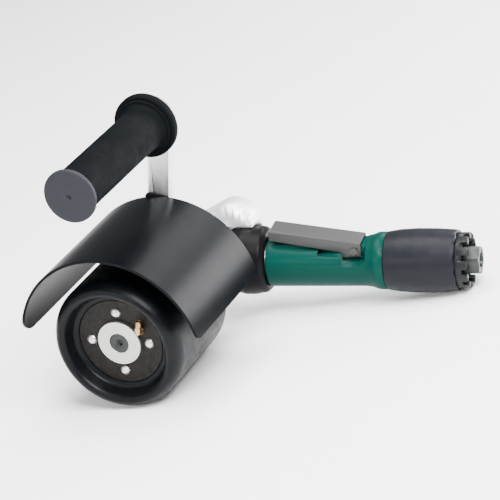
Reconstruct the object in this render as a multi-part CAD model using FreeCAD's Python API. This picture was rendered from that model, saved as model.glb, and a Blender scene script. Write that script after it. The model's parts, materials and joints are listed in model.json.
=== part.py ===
import FreeCAD, Part
import math
import os

# Right-angle air die grinder fitted with an inflatable drum wheel, a guard and a side handle.
# Millimetres. Every piece is modelled in the tool frame: origin at the middle of the drum,
# +Y along the drum axis towards the gear head, +Z along the handle bar, +X on the motor side.
# The last step turns the tool about the drum axis until drum and rear sleeve rest on the bench.

# ---- driving dimensions: drum wheel ----
drum_r = 50.8
shoulder_y = 36.5
shoulder_r = 16.0
shoulder_sweep = 42.0
lip_r = 4.0
lip_sweep = 168.0
tyre_wall = 6.0
plate_r = 33.6
plate_face = 36.7
plate_thick = 2.5
core_r = 28.0
plate_screw_circle = 23.5
plate_screw_angle = 9.4
plate_screw_head_r = 3.9
plate_screw_shank_r = 1.6
washer_r = 17.1
washer_thick = 3.0
valve_circle = 21.3
valve_angle = 41.5
valve_hole_r = 3.0
valve_bore_r = 1.3
valve_mouth = 9.5

# ---- spindle, bevel pair and gear head ----
apex_y = 97.0
spindle_end = 36.4
spindle_bore_r = 4.0
arbor_r = 8.0
neck_r = 9.0
front_journal_r = 8.5
middle_r = 6.5
gear_seat_r = 6.0
rear_journal_r = 5.0
running_gap = 0.05
head_face = 60.0
nose_r = 24.0
barrel_face = 81.0
barrel_r = 27.0
barrel_end = 122.0
cap_thick = 6.0
lobe_r = 18.5
lobe_x = 27.5
lobe_z = 32.0
lobe_front = 102.0
lobe_back = 121.9
bevel_gear_teeth = 21
bevel_pinion_teeth = 16
bevel_gear_pitch_r = 16.8
bevel_face = 7.0

# ---- motor, along its own axis from the crossing with the spindle ----
motor_offset = 7.3
motor_rise = 9.4
head_neck_r = 21.0
head_neck_end = 34.0
collar_start = 30.0
collar_end = 62.0
collar_r = 26.9
collar_rise = 1.6
body_start = 62.4
body_end = 154.0
body_r = 19.3
body_flare_r = 21.9
spigot_end = 164.0
spigot_r = 19.0
liner_r = 15.2
ring_gear_r = 17.2
sleeve_end = 209.0
sleeve_end_r = 23.0
sleeve_waist_r = 22.2
sleeve_belly_r = 24.4
sleeve_belly = 178.0
rear_ring_end = 218.0
rear_ring_r = 21.0
inlet_end = 225.0
inlet_flats = 20.0
inlet_thread_r = 5.9
inlet_thread_length = 14.0
inlet_relief_r = 6.3
inlet_relief_length = 2.0

# ---- planetary stage ----
gear_module = 0.7
sun_teeth = 12
planet_teeth = 15
ring_teeth = 42
planet_count = 3
planet_circle = gear_module * (sun_teeth + planet_teeth) / 2
planet_pin_r = 1.7

# ---- vane motor ----
liner_start = 64.0
liner_end = 92.0
liner_bore_r = 13.0
liner_offset = 0.9
rotor_r = 11.8
rotor_shaft_r = 4.0
blade_count = 5
blade_thick = 1.5
blade_root = 6.4

# ---- throttle ----
lever_half_width = 10.0
lever_sheet = 1.6
lever_tip = 66.0
lever_tip_top = 30.0
lever_nose_bottom = 24.3
lever_tail = 136.5
lever_tail_top = 19.2
pivot_l = 131.0
pivot_h = 12.5
pivot_pin_r = 2.0
spine_half_width = 8.1
spine_top = 16.8
valve_l = 112.0
plunger_r = 2.4
plunger_top = 20.6
bushing_r = 6.0

# ---- guard, bracket and side handle ----
guard_r = 72.8
guard_sheet = 2.0
guard_front = -52.2
guard_back = 58.3
guard_right_angle = 20.5
guard_left_angle = 183.3
guard_flap_angle = 155.0
guard_flap_back = 72.3
guard_left_corner_r = 16.0
guard_right_corner_r = 5.0
bar_x = -14.4
bar_width = 17.5
bar_front = 60.5
bar_back = 68.5
clamp_r = 30.0
clamp_front = 60.5
clamp_back = 72.5
lug_bottom = 40.0
lug_top = 72.5
lug_half_width = 9.6
lug_screw_z = (46.0, 60.0)
rivet_z = 64.2
rivet_reach = 5.5
handle_x = -21.3
handle_z = 130.2
grip_r = 16.9
grip_front = -73.0
grip_back = 58.0
grip_flange_r = 24.7
grip_front_r = 20.0
plug_flange = 3.4
plug_spigot_end = -58.0
grip_core_r = 10.0
handle_bolt_r = 6.0

PARTS = {}


# ---- helpers ----
def V(x, y, z):
    return FreeCAD.Vector(x, y, z)


def cos(degrees):
    return math.cos(math.radians(degrees))


def sin(degrees):
    return math.sin(math.radians(degrees))


def closed_face(steps, place):
    """A face from steps: two numbers are a line to that point, four are an arc via and to."""
    edges = []
    here = place(*steps[0])
    for step in steps[1:] + [steps[0]]:
        end = place(*step[-2:])
        if len(step) == 4:
            edges.append(Part.Arc(here, place(*step[:2]), end).toShape())
        elif here.distanceToPoint(end) > 1e-6:
            edges.append(Part.LineSegment(here, end).toShape())
        here = end
    return Part.Face(Part.Wire(edges))


def turned_y(steps):
    """A solid of revolution about the drum axis from (radius, y) steps."""
    face = closed_face(steps, lambda r, y: V(r, y, 0))
    return face.revolve(V(0, 0, 0), V(0, 1, 0), 360)


def turned_z(steps):
    """A solid of revolution about a local Z axis from (radius, z) steps."""
    face = closed_face(steps, lambda r, z: V(r, 0, z))
    return face.revolve(V(0, 0, 0), V(0, 0, 1), 360)


def rod_y(r, y0, y1, x=0.0, z=0.0):
    return Part.makeCylinder(r, y1 - y0, V(x, y0, z), V(0, 1, 0))


def tube_y(r_out, r_in, y0, y1, x=0.0, z=0.0):
    return rod_y(r_out, y0, y1, x, z).cut(rod_y(r_in, y0, y1, x, z))


def rod_z(r, z0, z1, x=0.0, y=0.0):
    return Part.makeCylinder(r, z1 - z0, V(x, y, z0), V(0, 0, 1))


def tube_z(r_out, r_in, z0, z1, x=0.0, y=0.0):
    return rod_z(r_out, z0, z1, x, y).cut(rod_z(r_in, z0, z1, x, y))


def rod_between(r, start, end):
    return Part.makeCylinder(r, (end - start).Length, start, end - start)


def box(x0, x1, y0, y1, z0, z1):
    return Part.makeBox(x1 - x0, y1 - y0, z1 - z0, V(x0, y0, z0))


def around(r, angle, y):
    """A point on the drum's end face, the angle counted from +X towards +Z."""
    return V(r * cos(angle), y, r * sin(angle))


def frame_at(origin, z_axis, x_axis):
    """The placement whose local Z and X point along the given directions."""
    z = FreeCAD.Vector(z_axis)
    z.normalize()
    x = FreeCAD.Vector(x_axis)
    x = x - z * x.dot(z)
    x.normalize()
    y = z.cross(x)
    rotation = FreeCAD.Rotation(x, y, z, "ZXY")
    return FreeCAD.Placement(origin, rotation)


def placed(shape, placement):
    moved = shape.copy()
    moved.Placement = placement.multiply(moved.Placement)
    return moved


def fused(shapes):
    whole = shapes[0]
    for shape in shapes[1:]:
        whole = whole.fuse(shape)
    return whole.removeSplitter()


def hexagon(flats, z0, z1):
    corner = flats / math.sqrt(3)
    points = [V(corner * cos(60 * k), corner * sin(60 * k), z0) for k in range(7)]
    return Part.Face(Part.makePolygon(points)).extrude(V(0, 0, z1 - z0))


def cap_screw(head_r, head_h, shank_r, shank_length, socket):
    """A socket-head screw whose head stands on the local z = 0 plane, shank along -Z."""
    rim = 0.12 * head_r
    outline = [(0, 0), (head_r, 0), (head_r, head_h - rim), (head_r - rim, head_h), (0, head_h)]
    head = turned_z(outline)
    body = fused([head, rod_z(shank_r, -shank_length, 0)])
    return body.cut(hexagon(socket, 0.35 * head_h, head_h + 1))


def dome_screw(head_r, head_h, shank_r, shank_length):
    """A round-head screw or rivet whose head, part of a ball, stands on the local z = 0 plane."""
    ball_r = (head_r ** 2 + head_h ** 2) / (2 * head_h)
    ball = Part.makeSphere(ball_r, V(0, 0, head_h - ball_r))
    head = ball.common(rod_z(head_r + 1, 0, head_h + 1))
    return fused([head, rod_z(shank_r, -shank_length, 0)])


def extruded_side(points, half_width):
    """A side outline of (along motor, height) points, extruded to both sides of the motor."""
    corners = [V(h, -half_width, l) for l, h in points]
    face = Part.Face(Part.makePolygon(corners + corners[:1]))
    return face.extrude(V(0, 2 * half_width, 0))


# ---- frames ----
motor_axis = V(cos(motor_rise) * cos(motor_offset), cos(motor_rise) * sin(motor_offset), sin(motor_rise))
apex = V(0, apex_y, 0)
drum_axis = V(0, 1, 0)
MOTOR = frame_at(apex, motor_axis, V(0, 0, 1))


def bench_turn():
    """The turn about the drum axis that lets drum and rear sleeve touch one bench plane."""
    reach = math.hypot(sleeve_end, sleeve_end_r)
    drop = math.asin(drum_r / reach) - math.atan2(sleeve_end_r, sleeve_end)
    level = math.hypot(motor_axis.x, motor_axis.z)
    return math.degrees(math.atan2(motor_axis.z, motor_axis.x) + math.asin(math.sin(drop) / level))


BENCH = FreeCAD.Placement(V(0, 0, 0), FreeCAD.Rotation(V(0, 1, 0), bench_turn()))


def keep(name, shape):
    """Files a piece given in the tool frame."""
    PARTS[name] = placed(shape, BENCH)


def keep_motor(name, shape):
    """Files a piece given in the motor frame: Z along the motor, X towards the lever."""
    PARTS[name] = placed(placed(shape, MOTOR), BENCH)


# ---- drum wheel ----
def drum_tyre():
    centre_r = drum_r - shoulder_r
    crest = (centre_r + shoulder_r * cos(shoulder_sweep), -shoulder_y - shoulder_r * sin(shoulder_sweep))
    lip = (crest[0] - lip_r * cos(shoulder_sweep), crest[1] + lip_r * sin(shoulder_sweep))
    lip_mid = (shoulder_sweep + lip_sweep) / 2
    half = shoulder_sweep / 2
    cavity_r = drum_r - tyre_wall
    bead_y = -plate_face + plate_thick
    front_half = [
        (drum_r, 0),
        (drum_r, -shoulder_y),
        (centre_r + shoulder_r * cos(half), -shoulder_y - shoulder_r * sin(half)) + crest,
        (lip[0] + lip_r * cos(lip_mid), lip[1] - lip_r * sin(lip_mid),
         lip[0] + lip_r * cos(lip_sweep), lip[1] - lip_r * sin(lip_sweep)),
        (plate_r + 4.8, -plate_face - 3.1),
        (plate_r + 3.8, -plate_face - 0.9, plate_r + 1.6, -plate_face - 0.2),
        (plate_r + 0.2, -plate_face),
        (plate_r + 0.2, bead_y),
        (core_r, bead_y),
        (core_r, bead_y + 8),
        (core_r + 8, bead_y + 5.7),
        (cavity_r - 3.8, -shoulder_y + 3.5),
        (cavity_r - 0.9, -shoulder_y + 3.3, cavity_r, -shoulder_y + 6.5),
        (cavity_r, 0),
    ]
    front = turned_y(front_half)
    back = front.mirror(V(0, 0, 0), drum_axis)
    return fused([front, back])


def drum_core():
    half = plate_face - plate_thick
    core = tube_y(core_r, arbor_r, -half, half)
    core = core.cut(tube_y(20.0, 12.0, -20.0, half))
    for face, way in ((-half, 1), (half, -1)):
        for k in range(4):
            spot = around(plate_screw_circle, plate_screw_angle + 90 * k, face)
            core = core.cut(rod_between(plate_screw_shank_r, spot, spot + V(0, way * 8, 0)))
    mouth = around(valve_circle, valve_angle, -half)
    turn = around(valve_circle, valve_angle, -22)
    core = core.cut(rod_between(1.5, mouth, turn))
    return core.cut(rod_between(1.5, turn, around(core_r + 1, valve_angle, -22)))


def drum_plate(with_valve_hole):
    y0 = -plate_face
    y1 = -plate_face + plate_thick
    rim = [(arbor_r, y0), (plate_r - 1.2, y0), (plate_r, y0 + 1.2), (plate_r, y1), (arbor_r, y1)]
    plate = turned_y(rim)
    for k in range(4):
        spot = around(plate_screw_circle, plate_screw_angle + 90 * k, y0)
        plate = plate.cut(rod_between(plate_screw_shank_r, spot, spot + V(0, plate_thick, 0)))
    if with_valve_hole:
        spot = around(valve_circle, valve_angle, y0)
        plate = plate.cut(rod_between(valve_hole_r, spot, spot + V(0, plate_thick, 0)))
    return plate


def plate_screws():
    screw = dome_screw(plate_screw_head_r, 2.6, plate_screw_shank_r, 10.0)
    screws = []
    for side in (-1, 1):
        for k in range(4):
            spot = around(plate_screw_circle, plate_screw_angle + 90 * k, side * plate_face)
            screws.append(placed(screw, frame_at(spot, V(0, side, 0), V(1, 0, 0))))
    return Part.makeCompound(screws)


stem_lift = 5.0
stem_way = V(0.09, 0, 1)
stem_foot = around(valve_circle, valve_angle, -plate_face - stem_lift)
STEM = frame_at(stem_foot, stem_way, V(0, -1, 0))


def tyre_valve():
    seat = frame_at(around(valve_circle, valve_angle, -plate_face), V(0, -1, 0), V(0, 0, 1))
    base = fused([hexagon(6.5, 0, 2.2), rod_z(valve_hole_r, -plate_thick, 0), rod_z(2.7, 2.2, stem_lift)])
    stem = turned_z([(0, 0), (2.5, 0), (2.5, 4.0), (2.1, 4.4), (2.1, 5.2), (2.4, 5.5), (2.4, 6.1),
                     (2.1, 6.4), (2.1, 7.0), (2.4, 7.3), (2.4, 7.9), (2.1, 8.2), (2.1, valve_mouth),
                     (0, valve_mouth)])
    elbow = Part.makeSphere(2.7, stem_foot)
    valve = fused([placed(base, seat), elbow, placed(stem, STEM)])
    return valve.cut(placed(rod_z(valve_bore_r, 3.0, valve_mouth), STEM))


def valve_core_pin():
    return placed(turned_z([(0, 4.4), (1.0, 4.4), (1.0, 5.4), (0.5, 5.8), (0.5, 9.0), (0, 9.2)]), STEM)


def retaining_washer():
    y0 = -plate_face - washer_thick
    return turned_y([(7.6, y0), (washer_r - 0.5, y0), (washer_r, y0 + 0.5), (washer_r, -plate_face),
                     (5.4, -plate_face), (7.6, y0 + 0.8)])


def retaining_screw():
    y0 = -plate_face - washer_thick + 0.4
    screw = turned_y([(0, y0), (7.1, y0), (7.4, y0 + 0.3), (7.4, y0 + 0.5), (spindle_bore_r, y0 + 3.9),
                      (spindle_bore_r, -18), (0, -18)])
    socket = placed(hexagon(5.0, -0.1, 3.2), frame_at(V(0, y0, 0), V(0, 1, 0), V(1, 0, 0)))
    return screw.cut(socket)


# ---- spindle and gears ----
def drive_spindle():
    return turned_y([
        (spindle_bore_r, -spindle_end + 1.1), (spindle_bore_r + 1.1, -spindle_end),
        (arbor_r, -spindle_end), (arbor_r, plate_face), (13.0, plate_face), (13.0, 40.0),
        (12.0, 41.0), (neck_r, 41.0), (neck_r, 66.0), (front_journal_r, 66.0), (front_journal_r, 78.0),
        (middle_r, 78.0), (middle_r, 104.0), (gear_seat_r, 104.0), (gear_seat_r, 115.0),
        (rear_journal_r, 115.0), (rear_journal_r, 122.6), (0, 122.6), (0, -16.0), (spindle_bore_r, -16.0)])


shaft_angle = math.degrees(math.acos(motor_axis.dot(drum_axis)))
bevel_ratio = bevel_pinion_teeth / bevel_gear_teeth
gear_cone = math.degrees(math.atan2(sin(shaft_angle), bevel_ratio + cos(shaft_angle)))
pinion_cone = shaft_angle - gear_cone
cone_length = bevel_gear_pitch_r / sin(gear_cone)
bevel_addendum = 1.2
bevel_dedendum = 1.7
inner_scale = (cone_length - bevel_face) / cone_length


def bevel_tooth(cone):
    """One tapered tooth about the local +Z axis with its apex at the origin."""
    along = V(sin(cone), 0, cos(cone))
    outward = V(cos(cone), 0, -sin(cone))
    aside = V(0, 1, 0)
    rows = ((-bevel_dedendum - 0.15, 1.72), (0, 1.13), (bevel_addendum, 0.56))
    left = [along * cone_length + outward * a - aside * w for a, w in rows]
    right = [along * cone_length + outward * a + aside * w for a, w in reversed(rows)]
    outer = left + right
    inner = [point * inner_scale for point in outer]
    wires = [Part.makePolygon(ring + ring[:1]) for ring in (outer, inner)]
    return Part.makeLoft(wires, True, True)


def bevel_wheel(cone, teeth, first_angle, outline):
    """A bevel wheel: a turned blank and its ring of teeth."""
    wheel = turned_z(outline)
    tooth = bevel_tooth(cone)
    for k in range(teeth):
        turned = tooth.copy()
        turned.rotate(V(0, 0, 0), V(0, 0, 1), first_angle + 360.0 * k / teeth)
        wheel = wheel.fuse(turned)
    return wheel.removeSplitter()


def cone_point(cone, height, scale):
    """(radius, z) of a point that stands a height off the pitch cone."""
    r = cone_length * sin(cone) + height * cos(cone)
    z = cone_length * cos(cone) - height * sin(cone)
    return (r * scale, z * scale)


def bevel_gear():
    outer = cone_point(gear_cone, -bevel_dedendum, 1)
    inner = cone_point(gear_cone, -bevel_dedendum, inner_scale)
    hub_end = 115.0 - apex_y
    blank = [(gear_seat_r, inner[1] - 0.8), inner, outer, (outer[0] - 0.4, hub_end), (gear_seat_r, hub_end)]
    wheel = bevel_wheel(gear_cone, bevel_gear_teeth, 180.0 / bevel_gear_teeth, blank)
    return placed(wheel, frame_at(apex, drum_axis, motor_axis))


def bevel_pinion():
    outer = cone_point(pinion_cone, -bevel_dedendum, 1)
    inner = cone_point(pinion_cone, -bevel_dedendum, inner_scale)
    blank = [(0, inner[1] - 0.8), (inner[0] - 2.5, inner[1] - 0.8), inner, outer,
             (outer[0] - 0.4, outer[1] + 1.5), (7.2, outer[1] + 2.0), (7.2, 23.5), (5.5, 23.5),
             (5.5, 39.8), (0, 39.8)]
    wheel = bevel_wheel(pinion_cone, bevel_pinion_teeth, 0, blank)
    return placed(wheel, frame_at(apex, motor_axis, drum_axis))


def spur_outline(teeth, inward):
    """The toothed outline of a small spur wheel, or of a ring gear whose teeth point inward."""
    pitch_r = gear_module * teeth / 2
    side = -1 if inward else 1
    root = pitch_r - side * 0.78
    tip = pitch_r + side * 0.5
    half_root = 0.70 / root
    half_tip = 0.30 / tip
    points = []
    for k in range(teeth):
        middle = 2 * math.pi * k / teeth
        for r, turn in ((root, -half_root), (tip, -half_tip), (tip, half_tip), (root, half_root)):
            points.append(V(r * math.cos(middle + turn), r * math.sin(middle + turn), 0))
    return Part.Face(Part.makePolygon(points + points[:1]))


def spur_wheel(teeth, z0, z1):
    outline = spur_outline(teeth, False)
    outline.translate(V(0, 0, z0))
    return outline.extrude(V(0, 0, z1 - z0))


def ring_gear():
    z0 = 40.0
    z1 = 54.0
    hole = spur_outline(ring_teeth, True)
    hole.rotate(V(0, 0, 0), V(0, 0, 1), 180.0 / ring_teeth)
    hole.translate(V(0, 0, z0))
    return rod_z(ring_gear_r, z0, z1).cut(hole.extrude(V(0, 0, z1 - z0)))


def planet_spot(k):
    return (planet_circle * cos(120 * k), planet_circle * sin(120 * k))


def planet_gear(k):
    wheel = spur_wheel(planet_teeth, 40.5, 53.0).cut(rod_z(planet_pin_r + running_gap, 40.5, 53.0))
    wheel.rotate(V(0, 0, 0), V(0, 0, 1), 120 * k)
    x, y = planet_spot(k)
    wheel.translate(V(x, y, 0))
    return wheel


def planet_carrier():
    disc = turned_z([(5.5, 36.0), (13.6, 36.0), (14.2, 36.6), (14.2, 39.8), (5.5, 39.8)])
    pins = [rod_z(planet_pin_r, 39.0, 53.6, *planet_spot(k)) for k in range(planet_count)]
    return fused([disc] + pins)


# ---- gear head ----
def tangent_web(x, z, r0, r1, y0, y1):
    """The prism between two round bosses, bounded by their outer tangents."""
    reach = math.hypot(x, z)
    lean = math.atan2(z, x)
    spread = math.acos((r0 - r1) / reach)
    corners = []
    for cx, cz, r, side in ((0, 0, r0, 1), (x, z, r1, 1), (x, z, r1, -1), (0, 0, r0, -1)):
        turn = lean + side * spread
        corners.append(V(cx + r * math.cos(turn), y0, cz + r * math.sin(turn)))
    return Part.Face(Part.makePolygon(corners + corners[:1])).extrude(V(0, y1 - y0, 0))


def gear_head():
    nose = turned_y([(0, head_face), (nose_r - 1, head_face), (nose_r, head_face + 1),
                     (nose_r, barrel_face), (barrel_r - 1, barrel_face), (barrel_r, barrel_face + 1),
                     (barrel_r, barrel_end), (0, barrel_end)])
    lobe = rod_y(lobe_r, lobe_front, lobe_back, lobe_x, lobe_z)
    web = tangent_web(lobe_x, lobe_z, barrel_r, lobe_r, lobe_front, lobe_back)
    collar_room = rod_z(collar_r + 0.4, collar_start - 0.1, collar_end + 8, collar_rise, 0)
    neck = placed(rod_z(head_neck_r, 0, head_neck_end), MOTOR)
    casting = fused([nose, lobe, web]).cut(placed(collar_room, MOTOR))
    casting = fused([casting, neck])
    hollow = [
        rod_y(16.0, head_face, 78.0),
        rod_y(10.0, 78.0, 88.0),
        rod_y(19.5, 88.0, barrel_end),
        placed(rod_z(14.6, 0, 24.0), MOTOR),
        placed(rod_z(15.0, 24.0, head_neck_end), MOTOR),
    ]
    for space in hollow:
        casting = casting.cut(space)
    for spot in cap_screw_spots(barrel_end):
        casting = casting.cut(rod_between(2.0, spot, spot - V(0, 12, 0)))
    return casting


def cap_screw_spots(y):
    return [around(23.3, 60 + 80 * k, y) for k in range(4)]


def head_cap():
    y1 = barrel_end + cap_thick
    cap = turned_y([(11.0, 117.0), (19.45, 117.0), (19.45, barrel_end), (barrel_r, barrel_end),
                    (barrel_r, y1 - 2.5), (barrel_r - 0.8, y1 - 0.8, barrel_r - 2.5, y1), (14.0, y1),
                    (12.5, y1 - 1.0), (0, y1 - 1.0), (0, 123.2), (11.0, 123.2)])
    for spot in cap_screw_spots(barrel_end):
        cap = cap.cut(rod_between(2.0, spot, spot + V(0, cap_thick, 0)))
    return cap


def head_cap_screws():
    screw = cap_screw(3.5, 3.6, 2.0, 16.0, 3.0)
    spots = cap_screw_spots(barrel_end + cap_thick)
    return Part.makeCompound([placed(screw, frame_at(s, V(0, 1, 0), V(1, 0, 0))) for s in spots])


def bearing(r_out, r_in, a0, a1, turned):
    """A shielded ball bearing: one ring with the shallow shield groove in both faces."""
    low = r_in + 0.3 * (r_out - r_in)
    high = r_out - 0.25 * (r_out - r_in)
    return turned([(r_in, a0), (low, a0), (low, a0 + 0.4), (high, a0 + 0.4), (high, a0), (r_out, a0),
                   (r_out, a1), (high, a1), (high, a1 - 0.4), (low, a1 - 0.4), (low, a1), (r_in, a1)])


def neck_collar():
    outer = turned_z([(0, collar_start), (23.0, collar_start), (24.9, 34.5, collar_r, 43.0),
                      (collar_r, 50.0), (26.4, 55.0, 25.3, 59.0), (24.7, 60.9, 23.0, 61.7),
                      (17.5, collar_end), (0, collar_end)])
    outer.translate(V(collar_rise, 0, 0))
    outer = fused([outer, rod_z(18.6, 54.0, collar_end)])
    hollow = fused([rod_z(head_neck_r, collar_start, head_neck_end),
                    rod_z(ring_gear_r, head_neck_end, 56.0), rod_z(liner_r, 56.0, collar_end)])
    return outer.cut(hollow)


# ---- air motor ----
def motor_rotor():
    core = rod_z(rotor_r, liner_start + 0.3, liner_end - 0.3)
    shaft = rod_z(rotor_shaft_r, 55.5, 98.5)
    tip = rod_z(3.2, 53.5, 55.5)
    rotor = fused([core, shaft, tip, spur_wheel(sun_teeth, 41.0, 53.5)])
    for k in range(blade_count):
        slot = box(blade_root, rotor_r + 1, -blade_thick / 2, blade_thick / 2, liner_start, liner_end)
        slot.rotate(V(0, 0, 0), V(0, 0, 1), 360.0 * k / blade_count)
        rotor = rotor.cut(slot)
    return rotor


def rotor_blades():
    half = blade_thick / 2 - 0.03
    blades = []
    for k in range(blade_count):
        blade = box(blade_root + 0.1, rotor_r - 0.1, -half, half, liner_start + 0.4, liner_end - 0.4)
        blade.rotate(V(0, 0, 0), V(0, 0, 1), 360.0 * k / blade_count)
        blades.append(blade)
    return Part.makeCompound(blades)


def cylinder_liner():
    liner = rod_z(liner_r, liner_start, liner_end)
    liner = liner.cut(rod_z(liner_bore_r, liner_start, liner_end, liner_offset, 0))
    for k in range(3):
        port = rod_between(1.5, V(-10, 0, 70 + 8 * k), V(-20, 0, 70 + 8 * k))
        liner = liner.cut(port)
    return liner


def end_plate(z0, z1, bearing_z0, bearing_z1):
    plate = tube_z(liner_r, 5.0, z0, z1)
    return plate.cut(rod_z(8.0, bearing_z0, bearing_z1))


def motor_housing():
    shell = turned_z([(0, body_start), (body_r - 0.8, body_start), (body_r, body_start + 0.8),
                      (body_r, 136.0), (body_r + 0.5, 141.5, body_flare_r - 0.4, 147.0),
                      (body_flare_r, 149.0), (body_flare_r, body_end), (spigot_r, body_end),
                      (spigot_r, spigot_end), (0, spigot_end)])
    hollow = [
        rod_z(liner_r, body_start, 103.0),
        rod_z(5.0, valve_l + 2, 150.0),
        rod_z(9.0, 150.0, spigot_end),
        rod_between(bushing_r, V(-9, 0, valve_l), V(25, 0, valve_l)),
        rod_between(3.0, V(0, 0, 102), V(0, 0, 107)),
    ]
    for k in range(6):
        hollow.append(rod_z(1.8, 102.0, spigot_end, 13.0 * cos(60 * k + 30) - 1, 13.0 * sin(60 * k + 30)))
    for space in hollow[:5]:
        shell = shell.cut(space)
    for space in hollow[5:]:
        if space.CenterOfMass.x < 0:
            shell = shell.cut(space)
    return cut_lever_pocket(shell)


def cut_lever_pocket(shell):
    """Removes the flat spine top, the side ledges under the lever flanges and the pin hole."""
    top = extruded_side([(104, spine_top), (140, spine_top), (140, 30), (104, 30)], 25)
    shell = shell.cut(top)
    ledge = [(60, 17.7), (66, 17.2), (103, 13.0), (103, 10.8), (121, 10.8), (121, 4.3), (134, 4.3),
             (140, 8.0), (140, 30), (60, 30)]
    sides = extruded_side(ledge, 25).cut(extruded_side([(50, -1), (150, -1), (150, 40), (50, 40)],
                                                       spine_half_width))
    shell = shell.cut(sides)
    return shell.cut(rod_between(pivot_pin_r, V(pivot_h, -12, pivot_l), V(pivot_h, 12, pivot_l)))


# ---- throttle ----
def throttle_lever():
    outline = [(lever_tip, lever_tip_top - 1.2), (lever_tip + 1.5, lever_tip_top),
               (lever_tail, lever_tail_top), (lever_tail, 8.2), (121.9, 7.7), (121.3, 11.8), (118.5, 12.6), (lever_tip, 22.3)]
    blank = extruded_side(outline, lever_half_width)
    fall = (lever_tip_top - lever_tail_top) / (lever_tail - lever_tip)
    top_at = lever_tip_top - lever_sheet
    inside = [(lever_tip + lever_sheet, top_at), (lever_tail + 5, top_at - fall * (lever_tail + 5 - lever_tip)),
              (lever_tail + 5, 0), (lever_tip + lever_sheet, 0)]
    lever = blank.cut(extruded_side(inside, lever_half_width - lever_sheet))
    nose_gap = [(lever_tip - 1, 0), (lever_tip + 5, 0), (lever_tip + 5, lever_nose_bottom),
                (lever_tip - 1, lever_nose_bottom)]
    lever = lever.cut(extruded_side(nose_gap, lever_half_width - lever_sheet))
    long_edges = []
    for edge in lever.Edges:
        middle = edge.CenterOfMass
        if edge.Length > 60 and abs(middle.y) > lever_half_width - 0.1 and middle.x > 22:
            long_edges.append(edge)
    lever = lever.makeFillet(1.5, long_edges)
    hole = rod_between(pivot_pin_r + running_gap, V(pivot_h, -12, pivot_l), V(pivot_h, 12, pivot_l))
    return lever.cut(hole)


def lever_pin():
    half = lever_half_width + 0.3
    shank = rod_between(pivot_pin_r, V(pivot_h, -half, pivot_l), V(pivot_h, half, pivot_l))
    heads = []
    for side in (-1, 1):
        start = V(pivot_h, side * half, pivot_l)
        heads.append(rod_between(3.0, start, start + V(0, side * 1.0, 0)))
    return fused([shank] + heads)


def up(r, h0, h1):
    """A rod that stands on the valve axis, its heights counted from the motor axis."""
    return rod_between(r, V(h0, 0, valve_l), V(h1, 0, valve_l))


def valve_bushing():
    bushing = up(bushing_r, -9.0, spine_top)
    bushing = bushing.cut(up(plunger_r + running_gap, 6.0, spine_top + 1))
    bushing = bushing.cut(up(4.6, -9.0, 6.0))
    for side in (-1, 1):
        bushing = bushing.cut(rod_between(2.4, V(0, 0, valve_l), V(0, 0, valve_l + side * 8)))
    return bushing


def throttle_plunger():
    tip = Part.makeSphere(plunger_r, V(plunger_top - plunger_r, 0, valve_l))
    return fused([up(plunger_r, 3.0, plunger_top - plunger_r), tip, up(4.2, 2.6, 4.8)])


def plunger_seal():
    return up(4.2, 4.8, 5.9).cut(up(plunger_r, 4.8, 5.9))


def valve_spring():
    coil_r = 3.3
    wire_r = 0.35
    height = 9.4
    helix = Part.makeHelix(2.2, height, coil_r)
    start = V(coil_r, 0, 0)
    section = Part.Wire([Part.makeCircle(wire_r, start, V(0, 1, 0))])
    coil = Part.Wire(helix).makePipeShell([section], True, True)
    return placed(coil, frame_at(V(-8.6, 0, valve_l), V(1, 0, 0), V(0, 0, 1)))


# ---- rear end ----
def exhaust_sleeve():
    return turned_z([(spigot_r, body_end), (sleeve_waist_r - 0.8, body_end), (sleeve_waist_r, body_end + 0.8),
                     (sleeve_belly_r - 0.5, 166.0, sleeve_belly_r, sleeve_belly),
                     (sleeve_belly_r - 0.2, 194.0, sleeve_end_r, sleeve_end - 1.2),
                     (sleeve_end_r - 1.2, sleeve_end), (spigot_r, sleeve_end)])


def muffler_insert():
    return tube_z(spigot_r - 0.2, 9.2, spigot_end + 1, 201.0)


def rear_ring():
    ring = turned_z([(9.1, 202.0), (spigot_r, 202.0), (spigot_r, sleeve_end), (rear_ring_r, sleeve_end),
                     (rear_ring_r, rear_ring_end - 1.0), (rear_ring_r - 1.0, rear_ring_end),
                     (16.8, rear_ring_end), (16.8, sleeve_end), (9.1, sleeve_end)])
    for k in range(8):
        ring = ring.cut(rod_z(1.9, 202.0, sleeve_end, 13.0 * cos(45 * k), 13.0 * sin(45 * k)))
    for k in range(12):
        notch = box(15.0, 23.0, -2.2, 2.2, rear_ring_end - 4.5, rear_ring_end + 1)
        notch.rotate(V(0, 0, 0), V(0, 0, 1), 30 * k)
        ring = ring.cut(notch)
    return ring


def inlet_bushing():
    hex_nut = hexagon(inlet_flats, 212.0, inlet_end)
    hex_nut = hex_nut.common(turned_z([(0, 212.0), (10.6, 212.0), (11.6, 213.0), (11.6, inlet_end - 1.0),
                                       (10.4, inlet_end), (0, inlet_end)]))
    body = fused([rod_z(9.0, 150.0, 212.0), hex_nut])
    thread_start = inlet_end - inlet_thread_length
    seat = thread_start - inlet_relief_length
    body = body.cut(rod_z(inlet_thread_r, thread_start, inlet_end))
    body = body.cut(rod_z(inlet_relief_r, seat, thread_start))
    return body.cut(rod_z(4.5, 150.0, seat))


def inlet_screen():
    seat = inlet_end - inlet_thread_length - inlet_relief_length
    screen = rod_z(inlet_relief_r, seat, seat + 1.0)
    for ring_r, count in ((0, 1), (2.2, 6), (4.2, 12)):
        for k in range(count):
            x = ring_r * cos(360 / count * k)
            y = ring_r * sin(360 / count * k)
            screen = screen.cut(rod_z(0.65, seat, seat + 1.0, x, y))
    return screen


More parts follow.
